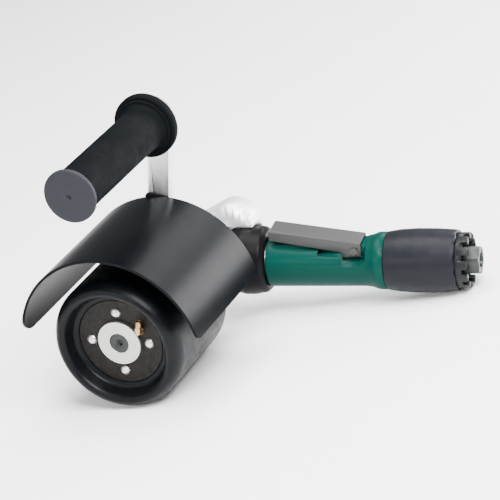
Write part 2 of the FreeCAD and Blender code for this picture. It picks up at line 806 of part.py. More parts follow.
# ---- guard, bracket and handle ----
def sheet_arc(r_out, r_in, y0, y1, angle0, angle1):
    """A curved sheet about the drum axis between two angles counted from +X towards +Z."""
    face = closed_face([(r_in, y0), (r_out, y0), (r_out, y1), (r_in, y1)], lambda r, y: V(r, y, 0))
    face.rotate(V(0, 0, 0), V(0, -1, 0), angle0)
    return face.revolve(V(0, 0, 0), V(0, -1, 0), angle1 - angle0)


def corner_cutter(edge_angle, corner_r, way):
    """The waste outside a rounded sheet corner, way +1 where the sheet lies at larger angles."""
    arc = math.degrees(corner_r / guard_r)
    middle = edge_angle + way * arc
    waste = box(guard_r - 15, guard_r + 5, guard_front - 5, guard_front + corner_r, -corner_r - 5, 0)
    waste = waste.cut(rod_between(corner_r, V(guard_r - 16, guard_front + corner_r, 0),
                                  V(guard_r + 6, guard_front + corner_r, 0)))
    if way < 0:
        waste = waste.mirror(V(0, 0, 0), V(0, 0, 1))
    waste.rotate(V(0, 0, 0), V(0, -1, 0), middle)
    return waste


def guard():
    inner = guard_r - guard_sheet
    shell = sheet_arc(guard_r, inner, guard_front, guard_back, guard_right_angle, guard_left_angle)
    shell = shell.cut(corner_cutter(guard_right_angle, guard_right_corner_r, 1))
    shell = shell.cut(corner_cutter(guard_left_angle, guard_left_corner_r, -1))
    web = sheet_arc(guard_r - 0.5, 56.0, guard_back - guard_sheet, guard_back, 62, 150)
    for x in (bar_x - rivet_reach, bar_x + rivet_reach):
        web = web.cut(rod_y(1.5, guard_back - guard_sheet, guard_back, x, rivet_z))
    flap = sheet_arc(guard_r, inner, guard_back, guard_flap_back, guard_flap_angle, guard_left_angle)
    return fused([shell, web, flap])


def guard_lug():
    z0 = lug_bottom
    z1 = lug_top
    half = lug_half_width
    corner = 3.0
    side = half - corner
    outline = [(bar_x - half, z0), (bar_x + half, z0), (bar_x + half, z1 - corner),
               (bar_x + side + corner * cos(45), z1 - corner + corner * sin(45), bar_x + side, z1),
               (bar_x - side, z1),
               (bar_x - side - corner * cos(45), z1 - corner + corner * sin(45), bar_x - half, z1 - corner)]
    face = closed_face(outline, lambda x, z: V(x, guard_back, z))
    lug = face.extrude(V(0, bar_front - guard_back, 0))
    for z in lug_screw_z:
        lug = lug.cut(rod_y(2.5, guard_back, bar_front, bar_x, z))
    for x in (bar_x - rivet_reach, bar_x + rivet_reach):
        lug = lug.cut(rod_y(1.5, guard_back, bar_front, x, rivet_z))
    return lug


def guard_rivets():
    rivet = dome_screw(3.2, 1.8, 1.5, bar_front - guard_back + guard_sheet)
    spots = [V(bar_x + way * rivet_reach, guard_back - guard_sheet, rivet_z) for way in (-1, 1)]
    return Part.makeCompound([placed(rivet, frame_at(s, V(0, -1, 0), V(1, 0, 0))) for s in spots])


def guard_screws():
    screw = cap_screw(4.2, 4.5, 2.5, bar_back - guard_back, 4.0)
    spots = [V(bar_x, bar_back, z) for z in lug_screw_z]
    return Part.makeCompound([placed(screw, frame_at(s, V(0, 1, 0), V(1, 0, 0))) for s in spots])


def handle_bracket():
    half = bar_width / 2
    ring = rod_y(clamp_r, clamp_front, clamp_back)
    bar = box(bar_x - half, bar_x + half, bar_front, bar_back, 22.0, handle_z)
    eye = rod_y(18.0, grip_back + 2.0, bar_back, handle_x, handle_z)
    ears = box(-10.0, 10.0, clamp_front, clamp_back, -41.0, -26.0)
    long_edges = [e for e in bar.Edges if abs(e.Length - (handle_z - 22.0)) < 0.01]
    bracket = fused([ring, bar.makeFillet(1.2, long_edges), eye, ears])
    bracket = bracket.cut(rod_y(nose_r + running_gap, clamp_front, clamp_back))
    bracket = bracket.cut(box(-1.2, 1.2, clamp_front, clamp_back, -45.0, -20.0))
    bracket = bracket.cut(rod_y(handle_bolt_r, grip_back, bar_back, handle_x, handle_z))
    for z in lug_screw_z:
        bracket = bracket.cut(rod_y(2.5, bar_front, bar_back, bar_x, z))
    middle = (clamp_front + clamp_back) / 2
    return bracket.cut(rod_between(3.0, V(-12, middle, -34.5), V(12, middle, -34.5)))


def clamp_screw():
    screw = cap_screw(5.0, 6.0, 3.0, 20.0, 5.0)
    middle = (clamp_front + clamp_back) / 2
    return placed(screw, frame_at(V(10.0, middle, -34.5), V(1, 0, 0), V(0, 0, 1)))


def handle_bolt():
    shank = rod_z(handle_bolt_r, -60.0, 0)
    head = hexagon(19.0, 0, 6.5).common(turned_z([(0, 0), (11.2, 0), (11.2, 5.6), (9.6, 6.5), (0, 6.5)]))
    seat = frame_at(V(handle_x, bar_back, handle_z), V(0, 1, 0), V(1, 0, 0))
    return placed(fused([head, shank]), seat)


def at_handle(shape):
    return placed(shape, FreeCAD.Placement(V(handle_x, 0, handle_z), FreeCAD.Rotation()))


def grip_core():
    tube = tube_y(grip_core_r, handle_bolt_r, grip_front + plug_flange, grip_back + 2.0)
    stop = tube_y(17.5, handle_bolt_r, grip_back, grip_back + 2.0)
    return at_handle(fused([tube, stop]))


def grip_sleeve():
    y0 = grip_front + plug_flange
    y1 = grip_back
    return at_handle(turned_y([
        (grip_core_r, y0), (grip_r + 0.3, y0), (grip_r + 0.3, y0 + 3.0), (grip_r, y0 + 6.0),
        (grip_r, y1 - 13.0),
        (grip_r + 2.0, y1 - 8.5, grip_flange_r - 1.5, y1 - 7.5),
        (grip_flange_r - 0.4, y1 - 7.0, grip_flange_r, y1 - 6.0), (grip_flange_r, y1 - 1.5),
        (grip_flange_r - 0.4, y1 - 0.4, grip_flange_r - 1.5, y1), (grip_core_r, y1)]))


def grip_end_plug():
    y0 = grip_front
    y1 = grip_front + plug_flange
    stem_r = handle_bolt_r - 0.1
    return at_handle(turned_y([
        (0, plug_spigot_end), (stem_r - 0.8, plug_spigot_end), (stem_r, plug_spigot_end - 0.8),
        (stem_r, y1), (grip_front_r - 0.6, y1), (grip_front_r, y1 - 0.6), (grip_front_r, y0 + 1.4),
        (grip_front_r - 0.4, y0 + 0.4, grip_front_r - 1.4, y0), (10.0, y0 - 0.7, 2.2, y0 - 0.9),
        (1.4, y0 + 0.2), (0, y0 + 0.6)]))


# ---- assembly ----
def build_drum():
    keep("drum_tyre", drum_tyre())
    keep("drum_core", drum_core())
    keep("front_plate", drum_plate(True))
    keep("back_plate", drum_plate(False).mirror(V(0, 0, 0), drum_axis))
    keep("plate_screws", plate_screws())
    keep("tyre_valve", tyre_valve())
    keep("valve_core_pin", valve_core_pin())
    keep("retaining_washer", retaining_washer())
    keep("retaining_screw", retaining_screw())
    keep("drive_spindle", drive_spindle())
    keep("bevel_gear", bevel_gear())


def build_gear_head():
    keep("gear_head", gear_head())
    keep("head_cap", head_cap())
    keep("head_cap_screws", head_cap_screws())
    keep("spindle_front_bearing", bearing(16.0, front_journal_r + running_gap, 66.0, 78.0, turned_y))
    keep("spindle_rear_bearing", bearing(11.0, rear_journal_r + running_gap, 116.0, 123.2, turned_y))
    keep("spindle_seal", tube_y(16.0, neck_r + running_gap, head_face + 0.5, 65.8))
    keep("bevel_pinion", bevel_pinion())
    keep_motor("pinion_bearing", bearing(15.0, 5.5 + running_gap, 24.5, 34.0, turned_z))
    keep_motor("neck_collar", neck_collar())
    keep_motor("ring_gear", ring_gear())
    keep_motor("planet_carrier", planet_carrier())
    for k in range(planet_count):
        keep_motor("planet_gear_%d" % (k + 1), planet_gear(k))


def build_motor():
    keep_motor("motor_housing", motor_housing())
    keep_motor("cylinder_liner", cylinder_liner())
    keep_motor("front_end_plate", end_plate(57.0, liner_start, 57.0, 62.5))
    keep_motor("rear_end_plate", end_plate(liner_end, 99.0, 93.5, 99.0))
    keep_motor("rotor_front_bearing", bearing(8.0, rotor_shaft_r + running_gap, 57.0, 62.5, turned_z))
    keep_motor("rotor_rear_bearing", bearing(8.0, rotor_shaft_r + running_gap, 93.5, 99.0, turned_z))
    keep_motor("motor_rotor", motor_rotor())
    keep_motor("rotor_blades", rotor_blades())
    keep_motor("exhaust_sleeve", exhaust_sleeve())
    keep_motor("muffler_insert", muffler_insert())
    keep_motor("rear_ring", rear_ring())
    keep_motor("inlet_bushing", inlet_bushing())
    keep_motor("inlet_screen", inlet_screen())


def build_throttle():
    keep_motor("throttle_lever", throttle_lever())
    keep_motor("lever_pin", lever_pin())
    keep_motor("valve_bushing", valve_bushing())
    keep_motor("throttle_plunger", throttle_plunger())
    keep_motor("plunger_seal", plunger_seal())
    keep_motor("valve_spring", valve_spring())


def build_guard_and_handle():
    keep("guard", guard())
    keep("guard_lug", guard_lug())
    keep("guard_rivets", guard_rivets())
    keep("guard_screws", guard_screws())
    keep("handle_bracket", handle_bracket())
    keep("clamp_screw", clamp_screw())
    keep("handle_bolt", handle_bolt())
    keep("grip_core", grip_core())
    keep("grip_sleeve", grip_sleeve())
    keep("grip_end_plug", grip_end_plug())


build_drum()
build_gear_head()
build_motor()
build_throttle()
build_guard_and_handle()

os.makedirs("parts", exist_ok=True)
for node in sorted(PARTS):
    PARTS[node].exportStep("parts/%s.step" % node)
print("bench turn %.3f degrees, %d pieces" % (bench_turn(), len(PARTS)))
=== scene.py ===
import json
import math

import bmesh
import bpy
from mathutils import Matrix, Vector


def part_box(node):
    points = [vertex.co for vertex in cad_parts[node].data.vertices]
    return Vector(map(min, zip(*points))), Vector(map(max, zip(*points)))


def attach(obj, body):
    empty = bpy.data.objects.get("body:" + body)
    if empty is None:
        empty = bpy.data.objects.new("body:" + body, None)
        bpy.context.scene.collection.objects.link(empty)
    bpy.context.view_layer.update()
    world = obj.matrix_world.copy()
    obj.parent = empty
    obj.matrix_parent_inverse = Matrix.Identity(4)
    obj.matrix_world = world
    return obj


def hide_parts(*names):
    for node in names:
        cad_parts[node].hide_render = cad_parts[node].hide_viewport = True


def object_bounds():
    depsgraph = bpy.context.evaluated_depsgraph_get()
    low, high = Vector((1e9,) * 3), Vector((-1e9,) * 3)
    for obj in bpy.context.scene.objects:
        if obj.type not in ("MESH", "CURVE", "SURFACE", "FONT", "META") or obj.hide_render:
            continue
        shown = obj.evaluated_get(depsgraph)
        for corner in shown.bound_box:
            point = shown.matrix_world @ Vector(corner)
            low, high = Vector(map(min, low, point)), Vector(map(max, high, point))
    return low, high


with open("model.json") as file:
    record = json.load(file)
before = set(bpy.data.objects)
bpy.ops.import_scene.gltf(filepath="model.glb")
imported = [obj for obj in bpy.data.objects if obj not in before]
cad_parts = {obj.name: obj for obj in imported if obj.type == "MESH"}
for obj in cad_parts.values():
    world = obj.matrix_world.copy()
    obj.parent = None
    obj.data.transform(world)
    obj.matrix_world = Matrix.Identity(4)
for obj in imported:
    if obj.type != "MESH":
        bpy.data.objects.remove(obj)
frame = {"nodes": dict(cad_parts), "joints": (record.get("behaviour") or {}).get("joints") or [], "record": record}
cad_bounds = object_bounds()

# ---- places, from the frame ----
MM = 0.001
JOINTS = {joint["name"]: joint for joint in frame["joints"]}
# The tool lies on its drum and rear sleeve, turned about its drum axis.
BENCH_TURN = math.radians(17.238)


def columns(x_axis, y_axis, z_axis, origin):
    """A matrix from its axes and origin, in metres."""
    turn = Matrix((x_axis, y_axis, z_axis)).transposed().to_4x4()
    return Matrix.Translation(origin) @ turn


def millimetres(matrix):
    """The same axes, for points given in millimetres."""
    return matrix @ Matrix.Scale(MM, 4)


bench = Matrix.Rotation(BENCH_TURN, 3, "Y")
tool_x = bench @ Vector((1, 0, 0))
tool_z = bench @ Vector((0, 0, 1))
to_front = Vector((0, -1, 0))
motor_way = Vector(JOINTS["pinion_spin"]["axis"])
lever_way = -Vector(JOINTS["plunger_slide"]["axis"])
apex = Vector(JOINTS["pinion_spin"]["pos_m"])

# Local axes in millimetres: DRUM and HANDLE have +Z towards the open front, MOTOR has +Z along the
# motor and +X towards the lever.
DRUM = millimetres(columns(tool_x, tool_z, to_front, Vector((0, 0, 0))))
MOTOR = millimetres(columns(lever_way, motor_way.cross(lever_way), motor_way, apex))
handle_low, handle_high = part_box("grip_core")
handle_centre = (handle_low + handle_high) / 2
handle_centre.y = 0
HANDLE = millimetres(columns(tool_x, tool_z, to_front, handle_centre))


# ---- mesh helpers ----
CORNER_STEPS = 5
STRAIGHT = 0.02
LONGEST_REACH = 0.48
WELD_DISTANCE = 1e-7
CAD_WELD = 1e-6
SHARP_ANGLE = 35.0
CAD_SHARP_ANGLE = 32.0
NORMAL_WEIGHT = 80


def rounded(corners):
    """A closed outline whose corners (a, b, radius) are replaced by short arcs."""
    outline = []
    count = len(corners)
    for k, corner in enumerate(corners):
        here = Vector(corner[:2])
        radius = corner[2] if len(corner) > 2 else 0
        before = Vector(corners[k - 1][:2]) - here
        after = Vector(corners[(k + 1) % count][:2]) - here
        turn = before.angle(after, 0)
        if radius <= 0 or turn > math.pi - STRAIGHT or turn < STRAIGHT:
            outline.append(here)
            continue
        reach = radius / math.tan(turn / 2)
        limit = LONGEST_REACH * min(before.length, after.length)
        if reach > limit:
            reach = limit
            radius = reach * math.tan(turn / 2)
        middle = (before.normalized() + after.normalized()).normalized()
        centre = here + middle * (radius / math.sin(turn / 2))
        first = here + before.normalized() * reach - centre
        last = here + after.normalized() * reach - centre
        sweep = math.atan2(first.x * last.y - first.y * last.x, first.dot(last))
        for step in range(CORNER_STEPS + 1):
            angle = sweep * step / CORNER_STEPS
            c = math.cos(angle)
            s = math.sin(angle)
            spoke = Vector((first.x * c - first.y * s, first.x * s + first.y * c))
            outline.append(centre + spoke)
    return outline


def make_object(name, points, faces, matrix):
    mesh = bpy.data.meshes.new(name)
    mesh.from_pydata([matrix @ Vector(p) for p in points], [], faces)
    mesh.validate()
    obj = bpy.data.objects.new(name, mesh)
    bpy.context.scene.collection.objects.link(obj)
    return obj


def outward(obj):
    """Turns every face of a closed mesh outwards."""
    work = bmesh.new()
    work.from_mesh(obj.data)
    bmesh.ops.remove_doubles(work, verts=work.verts, dist=WELD_DISTANCE)
    bmesh.ops.recalc_face_normals(work, faces=work.faces)
    work.to_mesh(obj.data)
    work.free()


def smooth(obj, angle=SHARP_ANGLE):
    """Smooth shading that keeps edges sharper than an angle in degrees."""
    obj.data.shade_smooth()
    obj.data.set_sharp_from_angle(angle=math.radians(angle))
    modifier = obj.modifiers.new("even_normals", "WEIGHTED_NORMAL")
    modifier.keep_sharp = True
    modifier.weight = NORMAL_WEIGHT
    return obj


def turned(name, outline, matrix, segments, shape=None):
    """A turned piece from a closed (radius, height) outline; shape may move each of its points."""
    points = []
    rings = []
    for r, z in outline:
        if r < 1e-6:
            rings.append([len(points)])
            points.append((0, 0, z))
            continue
        ring = []
        for k in range(segments):
            angle = 2 * math.pi * k / segments
            rr, zz = shape(angle, r, z) if shape else (r, z)
            ring.append(len(points))
            points.append((rr * math.cos(angle), rr * math.sin(angle), zz))
        rings.append(ring)
    faces = []
    for k, ring in enumerate(rings):
        other = rings[(k + 1) % len(rings)]
        if len(ring) == 1 and len(other) == 1:
            continue
        for j in range(segments):
            i = (j + 1) % segments
            if len(ring) == 1:
                faces.append((ring[0], other[j], other[i]))
            elif len(other) == 1:
                faces.append((ring[j], ring[i], other[0]))
            else:
                faces.append((ring[j], ring[i], other[i], other[j]))
    obj = make_object(name, points, faces, matrix)
    outward(obj)
    return smooth(obj)


def joined(name, objects):
    """One object from several."""
    bpy.ops.object.select_all(action="DESELECT")
    for obj in objects:
        obj.select_set(True)
    bpy.context.view_layer.objects.active = objects[0]
    bpy.ops.object.join()
    objects[0].name = name
    return objects[0]


# ---- material helpers ----
# A wave texture of scale 1 draws about this many rings to the metre.
RINGS_PER_METRE = 3.2
RING_DISTORTION = 0.4
WORN_FROM = 0.52
WORN_TO = 0.58


class Surface:
    """A node material with a principled shader and small helpers for its procedural detail."""

    def __init__(self, name, color, roughness, metallic=0.0, **sockets):
        self.material = bpy.data.materials.new(name)
        self.material.use_nodes = True
        self.nodes = self.material.node_tree.nodes
        self.links = self.material.node_tree.links
        self.shader = self.nodes["Principled BSDF"]
        self.shader.inputs["Base Color"].default_value = (*color, 1)
        self.shader.inputs["Roughness"].default_value = roughness
        self.shader.inputs["Metallic"].default_value = metallic
        for socket, value in sockets.items():
            self.shader.inputs[socket.replace("_", " ")].default_value = value
        self.coordinates = self.nodes.new("ShaderNodeTexCoord").outputs["Object"]
        self.color = None
        self.base = color
        self.normal = None

    def stretched(self, scale):
        """Coordinates scaled along each axis; a scale below 1 draws the pattern out."""
        node = self.nodes.new("ShaderNodeMapping")
        node.inputs["Scale"].default_value = scale
        self.links.new(self.coordinates, node.inputs["Vector"])
        return node.outputs["Vector"]

    def noise(self, grain, detail=4.0, vector=None):
        """Noise whose features are about grain metres across."""
        node = self.nodes.new("ShaderNodeTexNoise")
        node.inputs["Scale"].default_value = 1 / grain
        node.inputs["Detail"].default_value = detail
        self.links.new(vector or self.coordinates, node.inputs["Vector"])
        return node.outputs["Fac"]

    def rings(self, pitch):
        """Rings round the drum's axis, about pitch metres apart."""
        node = self.nodes.new("ShaderNodeTexWave")
        node.wave_type = "RINGS"
        node.rings_direction = "Y"
        node.inputs["Scale"].default_value = 1 / pitch / RINGS_PER_METRE
        node.inputs["Distortion"].default_value = RING_DISTORTION
        self.links.new(self.coordinates, node.inputs["Vector"])
        return node.outputs["Fac"]

    def spread(self, value, low, high, start=0.3, end=0.7):
        """Maps a value from start..end to low..high."""
        node = self.nodes.new("ShaderNodeMapRange")
        node.inputs["From Min"].default_value = start
        node.inputs["From Max"].default_value = end
        node.inputs["To Min"].default_value = low
        node.inputs["To Max"].default_value = high
        self.links.new(value, node.inputs["Value"])
        return node.outputs["Result"]

    def tint(self, mask, color):
        """Mixes another colour in where the mask is high."""
        node = self.nodes.new("ShaderNodeMix")
        node.data_type = "RGBA"
        self.links.new(mask, node.inputs["Factor"])
        if self.color is None:
            node.inputs["A"].default_value = (*self.base, 1)
        else:
            self.links.new(self.color, node.inputs["A"])
        node.inputs["B"].default_value = (*color, 1)
        self.color = node.outputs["Result"]
        self.links.new(self.color, self.shader.inputs["Base Color"])

    def edges(self, color, share):
        """Worn or lightened convex edges."""
        node = self.nodes.new("ShaderNodeNewGeometry")
        mask = self.spread(node.outputs["Pointiness"], 0, share, WORN_FROM, WORN_TO)
        self.tint(mask, color)

    def rough(self, value, low, high, start=0.3, end=0.7):
        """Roughness that follows a value."""
        result = self.spread(value, low, high, start, end)
        self.links.new(result, self.shader.inputs["Roughness"])

    def bump(self, height, depth, strength):
        """Relief of a given depth in metres."""
        node = self.nodes.new("ShaderNodeBump")
        node.inputs["Strength"].default_value = strength
        node.inputs["Distance"].default_value = depth
        self.links.new(height, node.inputs["Height"])
        if self.normal is not None:
            self.links.new(self.normal, node.inputs["Normal"])
        self.normal = node.outputs["Normal"]
        self.links.new(self.normal, self.shader.inputs["Normal"])

    def soft_edges(self, radius):
        """Rounds sharp edges in the shading by a radius in metres."""
        node = self.nodes.new("ShaderNodeBevel")
        node.samples = 4
        node.inputs["Radius"].default_value = radius
        self.normal = node.outputs["Normal"]
        self.links.new(self.normal, self.shader.inputs["Normal"])


def mixed(color, share, other):
    """A colour with a share of another."""
    return tuple(a * (1 - share) + b * share for a, b in zip(color, other))


# ---- materials ----
def rubber(name, color, roughness, grain=0.0004, gloss=0.14):
    """Moulded rubber: faint bloom, fine grain and dusty high spots."""
    made = Surface(name, color, roughness, Specular_IOR_Level=gloss)
    cloud = made.noise(0.02, 6)
    made.tint(made.spread(cloud, 0, 0.3), mixed(color, 0.01, (0.5, 0.52, 0.56)))
    made.rough(made.noise(0.006, 5), roughness - 0.07, roughness + 0.08)
    made.bump(made.noise(grain, 3), 0.00006, 0.5)
    made.bump(made.noise(0.012, 2), 0.0002, 0.3)
    return made.material


PEEL_GRAIN = 0.0007


def painted(name, color, roughness, chip, gloss=0.2, wear=1.0):
    """Paint or powder coat with orange peel, rub marks and lightened edges."""
    made = Surface(name, color, roughness, Specular_IOR_Level=gloss)
    made.soft_edges(0.0006)
    cloud = made.noise(0.03, 5)
    made.tint(made.spread(cloud, 0, 0.25), mixed(color, 0.01, (0.4, 0.42, 0.45)))
    made.edges(chip, 0.8 * wear)
    made.rough(made.noise(0.009, 6), roughness - 0.04 * wear, roughness + 0.05 * wear)
    made.bump(made.noise(PEEL_GRAIN, 2), 0.00003, 0.2 * wear)
    return made.material


def metal(name, color, roughness, stretch=None, grain=0.0005, relief=0.00004):
    """Bare metal, streaked where a stretch is given, else evenly blasted."""
    made = Surface(name, color, roughness, metallic=1.0)
    made.soft_edges(0.0005)
    vector = made.stretched(stretch) if stretch else None
    streak = made.noise(grain, 6, vector)
    made.tint(made.spread(streak, 0, 0.3), mixed(color, 0.35, (0.3, 0.3, 0.3)))
    stain = made.spread(made.noise(0.015, 4), 0, 0.06, 0.5, 0.8)
    made.tint(stain, mixed(color, 0.5, (0.2, 0.18, 0.15)))
    made.rough(streak, roughness - 0.08, roughness + 0.12)
    made.bump(streak, relief, 0.6)
    return made.material


def turned_metal(name, color, roughness, pitch):
    """Lathe-turned metal with rings round the drum axis."""
    made = Surface(name, color, roughness, metallic=1.0)
    made.soft_edges(0.0004)
    groove = made.rings(pitch)
    made.tint(made.spread(groove, 0, 0.5, 0.2, 0.8), mixed(color, 0.55, (0.02, 0.02, 0.02)))
    speck = made.noise(0.004, 5)
    made.tint(made.spread(speck, 0, 0.12), mixed(color, 0.3, (0.2, 0.2, 0.2)))
    made.rough(groove, roughness - 0.05, roughness + 0.1, 0, 1)
    made.bump(groove, 0.00004, 0.6)
    return made.material


def felt(name, color):
    """Pressed fibre."""
    made = Surface(name, color, 0.95)
    fibre = made.noise(0.0006, 8)
    made.tint(made.spread(fibre, 0, 0.6), mixed(color, 0.4, (0.1, 0.1, 0.1)))
    made.bump(fibre, 0.0002, 0.8)
    return made.material


# The dark base colours lie well below those of real materials; they are set for this studio light.
MATERIALS = {
    "rubber_black": rubber("tyre_rubber", (0.0010, 0.0013, 0.0021), 0.36, gloss=0.10),
    "grip_rubber": rubber("grip_rubber", (0.0018, 0.0024, 0.0028), 0.68, 0.0006, 0.02),
    "end_plug": rubber("plug_plastic", (0.014, 0.0148, 0.0185), 0.5, 0.0005, 0.1),
    "guard_black": painted("guard_coat", (0.0016, 0.0018, 0.0026), 0.32,
                           chip=(0.006, 0.006, 0.007), gloss=0.045, wear=0.35),
    "plate_dark": turned_metal("dark_plate", (0.016, 0.015, 0.014), 0.55, 0.0026),
    "alloy_core": metal("alloy_core", (0.62, 0.63, 0.64), 0.35),
    "head_alloy": metal("blasted_alloy", (0.88, 0.88, 0.90), 0.55, grain=0.0004, relief=0.00003),
    "bar_alloy": metal("brushed_bar", (0.78, 0.79, 0.80), 0.34, (1, 1, 0.03), 0.0006),
    "bright_steel": turned_metal("turned_steel", (0.50, 0.50, 0.48), 0.34, 0.0020),
    "fastener": metal("plated_steel", (0.66, 0.62, 0.62), 0.34),
    "dark_steel": metal("black_oxide", (0.022, 0.026, 0.025), 0.42),
    "gear_steel": metal("gear_steel", (0.42, 0.42, 0.43), 0.3),
    "brass": metal("valve_brass", (0.46, 0.27, 0.14), 0.30),
    "collar_black": painted("collar_coat", (0.0025, 0.0025, 0.0028), 0.34,
                            chip=(0.006, 0.006, 0.006), gloss=0.045, wear=0.4),
    "teal_housing": painted("teal_enamel", (0.0, 0.027, 0.0205), 0.34,
                            chip=(0.0, 0.045, 0.036), gloss=0.05, wear=0.4),
    "lever_grey": painted("lever_coat", (0.026, 0.025, 0.025), 0.42,
                          chip=(0.05, 0.05, 0.05), wear=0.6),
    "sleeve_grey": rubber("sleeve_moulding", (0.0070, 0.0076, 0.0098), 0.38, gloss=0.07),
    "ring_black": rubber("ring_moulding", (0.0045, 0.005, 0.006), 0.4),
    "felt": felt("muffler_felt", (0.30, 0.28, 0.25)),
    "seal_rubber": rubber("seal_rubber", (0.015, 0.015, 0.015), 0.4),
    "blade_resin": painted("blade_resin", (0.20, 0.10, 0.04), 0.5, chip=(0.3, 0.2, 0.1)),
}
SLOT_OF = {part["node"]: part["material_slot"] for part in frame["record"]["subparts"]}
BODY_OF = {}
for body_name, members in frame["record"]["behaviour"]["bodies"].items():
    for member in members:
        BODY_OF[member] = body_name


def dress(obj, slot_name):
    """The material of a slot as the object's only one."""
    obj.data.materials.clear()
    obj.data.materials.append(MATERIALS[slot_name])


def stand_for(obj, node):
    """The piece takes the place, body and finish of a CAD node."""
    dress(obj, SLOT_OF[node])
    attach(obj, BODY_OF[node])
    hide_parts(node)
    return obj


def dress_cad_nodes():
    """Finish and smooth shading for every CAD piece."""
    for node, obj in frame["nodes"].items():
        dress(obj, SLOT_OF[node])
        weld = obj.modifiers.new("weld", "WELD")
        weld.merge_threshold = CAD_WELD
        smooth(obj, CAD_SHARP_ANGLE)


# ---- drum wheel, in millimetres ----
DRUM_R = 50.78
SHOULDER_D = 36.5
SHOULDER_R = 16.0
SHOULDER_SWEEP = 42.0
LIP_R = 4.0
LIP_SWEEP = 168.0
BEAD_R = 28.2
PLATE_FACE = 36.7
PLATE_R = 33.6
PLATE_BORE_R = 8.0
PLATE_THICK = 2.5
PLATE_GAP = 0.2
WASHER_R = 17.1
WASHER_BORE_R = 5.4
WASHER_THICK = 3.0
SCREW_CIRCLE = 23.5
SCREW_ANGLE = math.radians(9.4)
SCREW_COUNT = 4
SCREW_HEAD_R = 3.9
SCREW_HEAD_HEIGHT = 2.6


def arc(centre, radius, start, end, steps):
    """Points of an arc round a centre, angles in degrees."""
    points = []
    for k in range(steps + 1):
        angle = math.radians(start + (end - start) * k / steps)
        across = centre[0] + radius * math.cos(angle)
        points.append((across, centre[1] + radius * math.sin(angle)))
    return points


def tyre_outline():
    """Half section from the tread's middle round the shoulder and lip to the bead, mirrored."""
    shoulder = arc((DRUM_R - SHOULDER_R, SHOULDER_D), SHOULDER_R, 0, SHOULDER_SWEEP, 16)
    crest = shoulder[-1]
    sweep = math.radians(SHOULDER_SWEEP)
    lip_centre = (crest[0] - LIP_R * math.cos(sweep), crest[1] - LIP_R * math.sin(sweep))
    lip = arc(lip_centre, LIP_R, SHOULDER_SWEEP, LIP_SWEEP, 14)[1:]
    foot = arc((PLATE_R + 1.4, PLATE_FACE + 3.2), 3.1, -10, -80, 8)
    front = shoulder + lip + foot
    seat = PLATE_R + PLATE_GAP
    inner = PLATE_FACE - PLATE_THICK
    front += [(seat, PLATE_FACE), (seat, inner), (BEAD_R, inner)]
    back = [(r, -d) for r, d in reversed(front)]
    return front + back


def build_tyre():
    tyre = turned("tyre_rubber_band", tyre_outline(), DRUM, 192)
    stand_for(tyre, "drum_tyre")


def build_plates():
    for side, node in ((1, "front_plate"), (-1, "back_plate")):
        outer = side * PLATE_FACE
        inner = side * (PLATE_FACE - PLATE_THICK)
        outline = rounded([(PLATE_BORE_R, inner), (PLATE_R, inner), (PLATE_R, outer, 0.9),
                           (PLATE_BORE_R, outer)])
        stand_for(turned(node + "_disc", outline, DRUM, 128), node)


def dome(name, matrix):
    """A round screw head with a soft rim."""
    radius = SCREW_HEAD_R
    height = SCREW_HEAD_HEIGHT
    ball = (radius ** 2 + height ** 2) / (2 * height)
    sweep = math.degrees(math.asin(radius / ball))
    cap = arc((0, height - ball), ball, 90, 90 - sweep + 3, 10)
    outline = [(0, height)] + cap[1:] + [(radius, 0), (radius - 0.3, -0.6), (0, -0.6)]
    return turned(name, outline, matrix, 32)


def build_plate_screws():
    heads = []
    for side in (1, -1):
        for k in range(SCREW_COUNT):
            angle = SCREW_ANGLE + math.radians(360 / SCREW_COUNT * k)
            across = SCREW_CIRCLE * math.cos(angle)
            up = SCREW_CIRCLE * math.sin(angle)
            spot = Matrix.Translation((across, up, side * PLATE_FACE))
            if side < 0:
                spot = spot @ Matrix.Rotation(math.pi, 4, "X")
            heads.append(dome("head", DRUM @ spot))
    stand_for(joined("plate_screw_heads", heads), "plate_screws")


def build_washer():
    face = PLATE_FACE + WASHER_THICK
    outline = rounded([(WASHER_BORE_R, PLATE_FACE), (WASHER_R, PLATE_FACE), (WASHER_R, face, 0.6),
                       (7.7, face, 0.35), (7.6, face - 0.9)])
    stand_for(turned("washer_disc", outline, DRUM, 128), "retaining_washer")


# ---- guard, in millimetres and degrees ----
GUARD_R = 72.8
GUARD_SHEET = 2.0
GUARD_RIM = 0.55
GUARD_FRONT = 52.2
GUARD_BACK = -58.3
GUARD_RIGHT = 20.5
GUARD_LEFT = 183.3
FLAP_ANGLE = 155.0
FLAP_BACK = -72.3
WEB_INNER_R = 56.0
WEB_START = 62.0
WEB_END = 150.0
WEB_OVERLAP = 0.5
WEB_STEPS = 40
LEFT_CORNER = 16.0
RIGHT_CORNER = 5.0
MAIN_COLUMNS = 78
FLAP_COLUMNS = 18
CORNER_ROWS = 24
MAIN_ROWS = 24
FLAP_ROWS = 4


def corner_inset(depth, corner):
    """How far a rounded corner pulls the side edge in, at a depth behind the front edge."""
    if depth >= corner:
        return 0.0
    return corner - math.sqrt(max(0.0, corner ** 2 - (corner - depth) ** 2))


def guard_row(d):
    """Points of one bent row at depth d, with a column exactly where the rear flap begins."""
    depth = GUARD_FRONT - d
    first = math.radians(GUARD_RIGHT) + corner_inset(depth, RIGHT_CORNER) / GUARD_R
    middle = math.radians(FLAP_ANGLE)
    last = math.radians(GUARD_LEFT) - corner_inset(depth, LEFT_CORNER) / GUARD_R
    angles = [first + (middle - first) * k / MAIN_COLUMNS for k in range(MAIN_COLUMNS)]
    angles += [middle + (last - middle) * k / FLAP_COLUMNS for k in range(FLAP_COLUMNS + 1)]
    return [(GUARD_R * math.cos(a), GUARD_R * math.sin(a), d) for a in angles]


